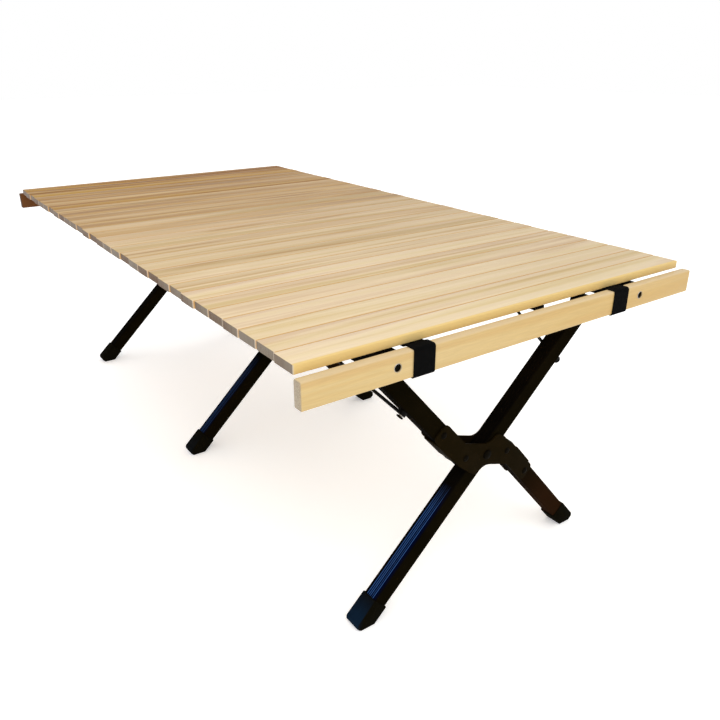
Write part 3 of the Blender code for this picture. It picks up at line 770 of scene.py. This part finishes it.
def strap_mesh(y):
    """A strap with rounded selvedges, and a UV map in metres along and across it."""
    top, _ = sizes()
    path = strap_path()
    half = top.strap_width / 2
    thick = top.strap_thickness / 2
    flat = half - thick * 0.7
    outline = [(-half, 0.0), (-flat, thick), (flat, thick), (half, 0.0), (flat, -thick),
               (-flat, -thick)]
    count = len(outline)
    strap = bmesh.new()
    rings = []
    for i, (x, z) in enumerate(path):
        before, after = path[max(i - 1, 0)], path[min(i + 1, len(path) - 1)]
        way = Vector((after[0] - before[0], 0, after[1] - before[1])).normalized()
        out = Vector((-way.z, 0, way.x))
        rings.append([strap.verts.new(Vector((x, y + across, z)) + out * high)
                      for across, high in outline])
    for first, second in zip(rings, rings[1:]):
        for k in range(count):
            following = (k + 1) % count
            strap.faces.new((first[k], first[following], second[following], second[k]))
    strap.faces.new(list(reversed(rings[0])))
    strap.faces.new(rings[-1])
    bmesh.ops.recalc_face_normals(strap, faces=strap.faces)

    layer = strap.loops.layers.uv.new("strap")
    run = [0.0]
    for first, second in zip(path, path[1:]):
        run.append(run[-1] + math.dist(first, second))
    strap.verts.index_update()
    for face in strap.faces:
        for loop in face.loops:
            loop[layer].uv = (run[loop.vert.index // count], loop.vert.co.y - y)
    return plain_mesh(strap, "strap")


def link_angles():
    """How far the front link's upper arm and the cross arm are turned from level."""
    _, leg = sizes()
    hub, pivot = joint_place("hub_turn_mid"), joint_place("frame_fold")
    rise, spread = pivot.z - hub.z, hub.y - pivot.y
    cross = math.atan2(rise, spread)
    return math.pi - cross - math.asin(leg.link_offset / math.hypot(rise, spread)), cross


def yoke_outline():
    """The hub plate's Z outline about the hub: the same turned half way round."""
    _, leg = sizes()
    lobe = leg.tube_width / 2 + leg.plate_margin
    outer, inner = leg.link_offset + lobe, leg.link_offset - lobe
    # Up a flank at 30 degrees, round the hollow and the shoulder, then up a slope of 10
    hollow = arc((-leg.waist_reach - leg.waist_radius, leg.link_offset), leg.waist_radius,
                 -60, 0, 16)
    flank = (hollow[0][1] + inner) / math.tan(math.radians(30))
    shoulder = arc((leg.shoulder_radius - leg.waist_reach, leg.link_offset),
                   leg.shoulder_radius, 180, 100, 10)
    rise = (outer - shoulder[-1][1]) / math.tan(math.radians(10))
    half = [(hollow[0][0] - flank, -inner)] + hollow + shoulder[1:]
    half += [(shoulder[-1][0] + rise, outer)]
    tip = leg.lobe_reach + leg.lobe_end - leg.lobe_corner
    half += arc((tip, outer - leg.lobe_corner), leg.lobe_corner, 90, 0, 10)
    half += arc((tip, inner + leg.lobe_corner), leg.lobe_corner, 0, -90, 10)
    return half + [(-y, -z) for y, z in half]


def rounded_plate(outline, thickness, edge):
    """A flat plate lying in YZ, its edges rounded all round."""
    curve = bpy.data.curves.new("plate", "CURVE")
    curve.dimensions = "2D"
    curve.fill_mode = "BOTH"
    curve.extrude = thickness / 2 - edge
    curve.bevel_depth = edge
    curve.bevel_resolution = 2
    curve.offset = -edge
    spline = curve.splines.new("POLY")
    spline.points.add(len(outline) - 1)
    for spot, (y, z) in zip(spline.points, outline):
        spot.co = (y, z, 0, 1)
    spline.use_cyclic_u = True
    mesh = evaluated(linked("plate", curve))
    mesh.transform(Matrix(((0, 0, 1, 0), (1, 0, 0, 0), (0, 1, 0, 0), (0, 0, 0, 1))))
    return mesh


def rounded_box(low, high, edge):
    low, high = Vector(low), Vector(high)
    solid = bmesh.new()
    bmesh.ops.create_cube(solid, size=1.0)
    bmesh.ops.scale(solid, vec=high - low, verts=solid.verts)
    bmesh.ops.translate(solid, vec=(high + low) / 2, verts=solid.verts)
    bmesh.ops.bevel(solid, geom=list(solid.edges), offset=edge, segments=2, profile=0.5,
                    affect="EDGES")
    return plain_mesh(solid, "box")


def turned(profile, steps):
    """A profile of (radius, height) turned about X, heights along X."""
    solid = bmesh.new()
    angles = [2 * math.pi * i / steps for i in range(steps)]
    rings = []
    for radius, height in profile:
        if radius == 0:
            rings.append([solid.verts.new((height, 0, 0))] * steps)
            continue
        rings.append([solid.verts.new((height, radius * math.cos(a), radius * math.sin(a)))
                      for a in angles])
    for first, second in zip(rings, rings[1:]):
        for i in range(steps):
            k = (i + 1) % steps
            # A ring drawn in to one point gives triangles
            corners = dict.fromkeys((first[i], first[k], second[k], second[i]))
            solid.faces.new(list(corners))
    bmesh.ops.recalc_face_normals(solid, faces=solid.faces)
    return plain_mesh(solid, "turned")


def merged(mesh):
    """A mesh opened for editing, its doubles merged."""
    solid = bmesh.new()
    solid.from_mesh(mesh)
    bmesh.ops.remove_doubles(solid, verts=solid.verts, dist=MERGE_DISTANCE)
    return solid


def gathered(meshes):
    """Several meshes in one, the doubles merged within each."""
    whole = bmesh.new()
    for mesh in meshes:
        part = merged(mesh)
        bmesh.ops.recalc_face_normals(part, faces=part.faces)
        clean = plain_mesh(part, "part")
        whole.from_mesh(clean)
        bpy.data.meshes.remove(clean)
    return plain_mesh(whole, "gathered")


def moved(mesh, matrix):
    copy = mesh.copy()
    copy.transform(matrix)
    return copy


def smooth_copy(node):
    """A CAD node's shape with its doubles merged, so that its roundings shade smooth."""
    solid = merged(frame["nodes"][node].data)
    bmesh.ops.dissolve_limit(solid, angle_limit=math.radians(0.5), verts=solid.verts,
                             edges=solid.edges)
    return plain_mesh(solid, node)


# Operators

class TABLE_OT_slats(bpy.types.Operator):
    """Lay the slats of the top side by side"""
    bl_idname = "camping_table.slats"
    bl_label = "Slats"

    def execute(self, context):
        mesh = grown(slat_tree(pine_slats()))
        piece = place_piece("slats", mesh, None, "slatted_top")
        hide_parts(*SLATS)
        return {"FINISHED"}


class TABLE_OT_webbing(bpy.types.Operator):
    """Run the webbing straps under the slats and round the end rails"""
    bl_idname = "camping_table.webbing"
    bl_label = "Webbing"

    def execute(self, context):
        material = webbing()
        for side in ("left", "right"):
            node = "strap_" + side
            piece = place_piece("webbing_" + side, strap_mesh(node_middle(node, 1)), material,
                                "slatted_top")
            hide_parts(node)
        return {"FINISHED"}


class TABLE_OT_closing_tab(bpy.types.Operator):
    """Hang a folded tab of webbing under the nearest slat"""
    bl_idname = "camping_table.closing_tab"
    bl_label = "Closing Tab"

    def execute(self, context):
        top, _ = sizes()
        under = under_slats()
        edge = slats_end()
        half = top.tab_size / 2
        mesh = rounded_box((edge - top.tab_size, top.tab_offset - half, under - top.tab_depth),
                           (edge, top.tab_offset + half, under), 0.0004)
        layer = mesh.uv_layers.new(name="strap")
        for loop, spot in zip(mesh.loops, layer.data):
            spot.uv = mesh.vertices[loop.vertex_index].co.xy
        place_piece("closing_tab", mesh, bpy.data.materials["woven_webbing"], "slatted_top")
        return {"FINISHED"}


class TABLE_OT_staples(bpy.types.Operator):
    """Staple each slat to the straps"""
    bl_idname = "camping_table.staples"
    bl_label = "Staples"

    def execute(self, context):
        mesh = grown(staple_tree(bright_steel()))
        place_piece("staples", mesh, None, "slatted_top")
        return {"FINISHED"}


class TABLE_OT_end_rails(bpy.types.Operator):
    """Finish the end rails and set their bushes"""
    bl_idname = "camping_table.end_rails"
    bl_label = "End Rails"

    def execute(self, context):
        top, leg = sizes()
        wood = pine_rail()
        bush_y = node_span("side_rail_right", 1)[1] - leg.tube_depth / 2
        bush_z = node_span("side_rail_right", 2)[1] - leg.tube_width / 2
        tree = bush_tree(blackened_steel(), 2 * bush_y)
        bright = bright_steel()
        # A thin ring round each bush, its lip half a millimetre proud of the rail
        inner = top.bush_radius - 0.0001
        rim = turned([(inner, 0.0001), (inner, 0.0004), (inner + 0.0003, 0.0005),
                      (top.bush_rim, 0.0001), (inner, 0.0001)], 32)
        for name in ("near", "far"):
            node = "end_rail_" + name
            piece = place_piece("rail_" + name, smooth_copy(node), wood, "slatted_top")
            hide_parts(node)
            middle, half = node_middle(node, 0), node_size(node, 0) / 2
            mesh = grown(tree, Centre=(middle, 0.0, bush_z))
            place_piece("bushes_" + name, mesh, None, "slatted_top")
            rims = [moved(rim, Matrix.Translation((middle + side * half, y, bush_z))
                          @ Matrix.Rotation(0.0 if side > 0 else math.pi, 4, "Z"))
                    for side in (-1, 1) for y in (-bush_y, bush_y)]
            place_piece("bush_rims_" + name, gathered(rims), bright, "slatted_top")
        return {"FINISHED"}


class TABLE_OT_tubes(bpy.types.Operator):
    """Finish the side rails and the arms in black anodised aluminium"""
    bl_idname = "camping_table.tubes"
    bl_label = "Rails and Arms"

    def execute(self, context):
        material = anodised_tube()
        arms = [arm + name for name in FRAMES
                for arm in ("front_arm_upper_", "front_arm_lower_", "cross_arm_")]
        for node in ["side_rail_left", "side_rail_right"] + arms:
            dress(frame["nodes"][node].data, material)
        return {"FINISHED"}


class TABLE_OT_yokes(bpy.types.Operator):
    """Press the hub plates, bridge them and set their pins and rivets"""
    bl_idname = "camping_table.yokes"
    bl_label = "Hub Yokes"

    def execute(self, context):
        top, leg = sizes()
        turn, _ = link_angles()
        paint = plate_paint()
        steel = blackened_steel()
        plate = rounded_plate(yoke_outline(), leg.plate_thickness, 0.0005)
        plate_x = leg.tube_depth / 2 + top.touch + leg.plate_thickness / 2
        seat = plate_x + leg.plate_thickness / 2
        parts = [moved(plate, Matrix.Translation((side * plate_x, 0, 0))) for side in (-1, 1)]
        # A bridge over each arm, the second one the first turned half way round
        low = leg.link_offset + leg.tube_width / 2 + top.touch
        high = low + leg.plate_thickness
        parts.append(rounded_box((-seat, leg.bridge_start, low), (seat, leg.bridge_end, high),
                                 0.0006))
        parts.append(rounded_box((-seat, -leg.bridge_end, -high),
                                 (seat, -leg.bridge_start, -low), 0.0006))
        # The pin: a dome, its rim, and the shank between two such heads
        dome = [(0, leg.pin_rise), (leg.pin_head - 0.0021, leg.pin_rise - 0.0002),
                (leg.pin_head - 0.0006, leg.pin_rise - 0.0012), (leg.pin_head, 0),
                (leg.pin_radius, -0.0002)]
        pin = turned([(radius, seat + rise) for radius, rise in dome]
                     + [(radius, -seat - rise) for radius, rise in reversed(dome)], 32)
        rivets = rivet_tree(steel, seat, turn)
        for name in FRAMES:
            hub = joint_place("hub_turn_" + name)
            place = Matrix.Translation(hub) @ Matrix.Rotation(turn, 4, "X")
            body = "front_link_" + name
            mesh = gathered([moved(part, place) for part in parts])
            piece = place_piece("hub_plates_" + name, mesh, paint, body)
            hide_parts("hub_yoke_" + name)
            place_piece("hub_pin_" + name, moved(pin, place), steel, body)
            place_piece("rivets_" + name, grown(rivets, Hub=tuple(hub)), None, body)
        return {"FINISHED"}


class TABLE_OT_feet(bpy.types.Operator):
    """Mould the rubber feet"""
    bl_idname = "camping_table.feet"
    bl_label = "Feet"

    def execute(self, context):
        material = foot_rubber()
        for name in FRAMES:
            for kind in ("front", "cross"):
                node = "foot_" + kind + "_" + name
                piece = place_piece("boot_" + kind + "_" + name, smooth_copy(node), material,
                                    kind + "_link_" + name, 50.0)
                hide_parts(node)
        return {"FINISHED"}


class TABLE_OT_braces(bpy.types.Operator):
    """Finish the brace rods and bolt their eyes to the arms"""
    bl_idname = "camping_table.braces"
    bl_label = "Brace Rods"

    def execute(self, context):
        top, leg = sizes()
        rod = coated_rod()
        black = blackened_steel()
        bright = bright_steel()
        front, cross = link_angles()
        face = leg.tube_width / 2 + top.touch
        radius = leg.rod_bolt_radius - 0.0002
        # By side: how far a bolt's head stands off its arm, and the head's radius
        parts = {}
        for side, stand, crown in (("left", 0.0070, 0.0046), ("right", 0.0066, 0.0052)):
            seat = face + stand
            shank = turned([(0, face - 0.001), (radius, face - 0.001),
                            (radius, seat + 0.0002), (0, seat + 0.0002)], 24)
            head = turned([(0, seat - 0.0002), (crown - 0.0004, seat - 0.0001),
                           (crown, seat + 0.0006), (crown - 0.0006, seat + 0.0018),
                           (0, seat + 0.0023)], 24)
            parts[side] = (("shank", shank, bright), ("head", head, black))
        for name, lean in (("near", -1), ("far", 1)):
            hub = joint_place("hub_turn_" + name)
            for side, body, turn, centre, outer in (
                    ("left", "front_link_", front, leg.link_offset, 1),
                    ("right", "cross_link_", cross, 0.0, -1)):
                end = side + "_" + name
                piece = place_piece("rod_" + end, smooth_copy("brace_rod_" + end), rod,
                                    body + name)
                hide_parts("brace_rod_" + end)
                spot = (-lean * leg.rod_bolt_shift, leg.rod_bolt_reach, centre)
                place = (Matrix.Translation(hub) @ Matrix.Rotation(turn, 4, "X")
                         @ Matrix.Translation(spot)
                         @ Matrix.Rotation(-outer * math.pi / 2, 4, "Y"))
                for part, mesh, paint in parts[side]:
                    place_piece("rod_bolt_" + part + "_" + end, moved(mesh, place), paint,
                                body + name)
        return {"FINISHED"}


class TABLE_OT_stage(bpy.types.Operator):
    """Set the floor, the soft lights and the camera"""
    bl_idname = "camping_table.stage"
    bl_label = "Stage"

    def execute(self, context):
        scene = context.scene
        scene.view_settings.view_transform = "Standard"
        white = (1.0, 1.0, 1.0, 1.0)
        # Smooth white card that gives back a little light, so that shadows stay faint
        material, tree = new_material("studio_floor", Roughness=0.9, Emission_Strength=0.3,
                                      Emission_Color=white)
        cloth = noise(object_position(tree), 400, 2.0, 0.5)
        tree.links.new(mixed(cloth, "FCFCFC", "FEFEFE"),
                       tree.nodes["Principled BSDF"].inputs["Base Color"])
        solid = bmesh.new()
        bmesh.ops.create_grid(solid, x_segments=1, y_segments=1, size=12.0)
        mesh = plain_mesh(solid, "floor")
        mesh.materials.append(material)
        linked("floor", mesh)

        world = bpy.data.worlds.new("studio")
        world.use_nodes = True
        background = world.node_tree.nodes["Background"]
        background.inputs["Color"].default_value = white
        background.inputs["Strength"].default_value = 1.0
        scene.world = world

        # A broad key over the near end, a fill from the long side and a rim from behind
        for name, place, aim, size, power, tint in (
                ("key", (1.9, -0.8, 2.3), (0.1, 0.0, 0.3), 1.6, 16.0, (1.0, 0.97, 0.93)),
                ("fill", (0.4, -2.4, 1.4), (0.0, 0.0, 0.3), 1.8, 4.0, (0.93, 0.96, 1.0)),
                ("rim", (-1.6, 1.2, 1.8), (0.0, 0.0, 0.35), 1.2, 3.0, (1.0, 0.98, 0.95))):
            light = bpy.data.lights.new(name, "AREA")
            light.energy = power
            light.size = size
            light.color = tint
            lamp = linked(name, light)
            lamp.location = place
            way = Vector(aim) - Vector(place)
            lamp.rotation_euler = way.to_track_quat("-Z", "Y").to_euler()

        # Where the photograph was taken from, worked out from the table's own corners
        camera = linked("camera", bpy.data.cameras.new("camera"))
        camera.data.sensor_width = 36.0
        camera.data.lens = 34.91
        camera.data.clip_start = 0.01
        camera.location = (1.0472, -0.5804, 0.6520)
        camera.rotation_euler = (math.pi / 2 - 0.4099, 0.0, 0.9512)
        scene.camera = camera
        return {"FINISHED"}


class TABLE_PT_panel(bpy.types.Panel):
    """Sizes, colours and steps of the table"""
    bl_idname = "TABLE_PT_panel"
    bl_label = "Camping Table"
    bl_space_type = "VIEW_3D"
    bl_region_type = "UI"
    bl_category = "Camping Table"

    def draw(self, context):
        layout = self.layout
        for label, name, group in GROUPS:
            box = layout.box()
            box.label(text=label)
            for key in group.__annotations__:
                box.prop(getattr(context.scene, name), key)
        for operator in OPERATORS:
            layout.operator(operator.bl_idname)


OPERATORS = (TABLE_OT_slats, TABLE_OT_webbing, TABLE_OT_closing_tab, TABLE_OT_staples,
             TABLE_OT_end_rails, TABLE_OT_tubes, TABLE_OT_yokes, TABLE_OT_feet,
             TABLE_OT_braces, TABLE_OT_stage)
GROUPS = (("Top", "table_top_sizes", TopSizes), ("Legs", "table_leg_sizes", LegSizes),
          ("Colours", "table_colours", Colours))


def register():
    for _, name, group in GROUPS:
        bpy.utils.register_class(group)
        setattr(bpy.types.Scene, name, PointerProperty(type=group))
    for operator in OPERATORS:
        bpy.utils.register_class(operator)
    bpy.utils.register_class(TABLE_PT_panel)


def unregister():
    bpy.utils.unregister_class(TABLE_PT_panel)
    for operator in reversed(OPERATORS):
        bpy.utils.unregister_class(operator)
    for _, name, group in reversed(GROUPS):
        delattr(bpy.types.Scene, name)
        bpy.utils.unregister_class(group)


def main():
    register()
    steps = bpy.ops.camping_table
    steps.slats()
    steps.webbing()
    steps.closing_tab()
    steps.staples()
    steps.end_rails()
    steps.tubes()
    steps.yokes()
    steps.feet()
    steps.braces()
    steps.stage()


if __name__ == "__main__":
    main()
